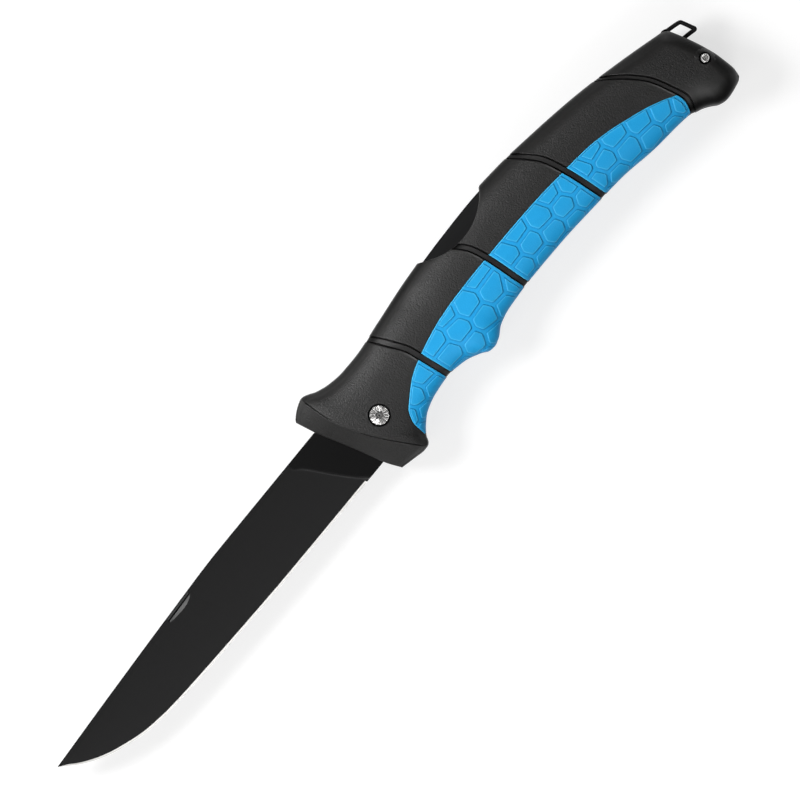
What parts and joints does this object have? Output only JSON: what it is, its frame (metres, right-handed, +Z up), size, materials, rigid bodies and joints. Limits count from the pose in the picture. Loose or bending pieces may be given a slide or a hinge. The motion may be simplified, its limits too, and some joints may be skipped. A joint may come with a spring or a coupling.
{
  "type": "folding fishing knife",
  "caption": "Folding fishing knife with a slim dark blade, a back lock, and a curved black handle with inlaid blue grip pads and a lanyard loop.",
  "frame": {"origin": "centre of the open knife's outline on the plane that the knife lies on, under the lower grip pads", "axes": "+X from the blade's tip to the pommel, +Y from the cutting edge to the spine, +Z up through the handle's thickness to the side with the nail nick and the pivot screw"},
  "size_m": [0.2776, 0.0398, 0.021],
  "materials": {
    "black_plastic": "fine-grained matte",
    "blue_rubber": "soft matte with a raised cell pattern",
    "coated_steel": "dark matte coating with a bare sharpened edge",
    "bare_steel": "satin",
    "dark_steel": "black satin",
    "bronze": "plain bearing bronze"
  },
  "bodies": {
    "handle": {"scale_top": "black_plastic", "scale_bottom": "black_plastic", "liner_top": "dark_steel", "liner_bottom": "dark_steel", "back_spacer": "black_plastic", "lanyard_loop": "dark_steel", "pivot_barrel": "bare_steel", "pivot_screw": "bare_steel", "pivot_washer_top": "bronze", "pivot_washer_bottom": "bronze", "lock_spring": "bare_steel", "lock_bar_pin": "bare_steel", "spring_pin": "bare_steel", "spacer_pin": "bare_steel", "rear_rivet": "bare_steel", "grip_pad_top_1": "blue_rubber", "grip_pad_top_2": "blue_rubber", "grip_pad_top_3": "blue_rubber", "grip_pad_top_4": "blue_rubber", "grip_pad_bottom_1": "blue_rubber", "grip_pad_bottom_2": "blue_rubber", "grip_pad_bottom_3": "blue_rubber", "grip_pad_bottom_4": "blue_rubber"},
    "blade": {"blade": "coated_steel"},
    "lock_bar": {"lock_bar": "dark_steel"}
  },
  "joints": [
    {"name": "blade_fold", "type": "hinge", "parent": "handle", "child": "blade", "pos_m": [-0.00365, -0.00025, 0.0105], "axis": [0, 0, 1], "range_deg": [0, 177.4]},
    {"name": "lock_bar_rock", "type": "hinge", "parent": "handle", "child": "lock_bar", "pos_m": [0.02841, 0.01215, 0.0105], "axis": [0, 0, -1], "range_deg": [0, 3.6], "stiffness_Nm_per_rad": 2, "springref_deg": -4.58, "deforming": ["lock_spring"]}
  ]
}
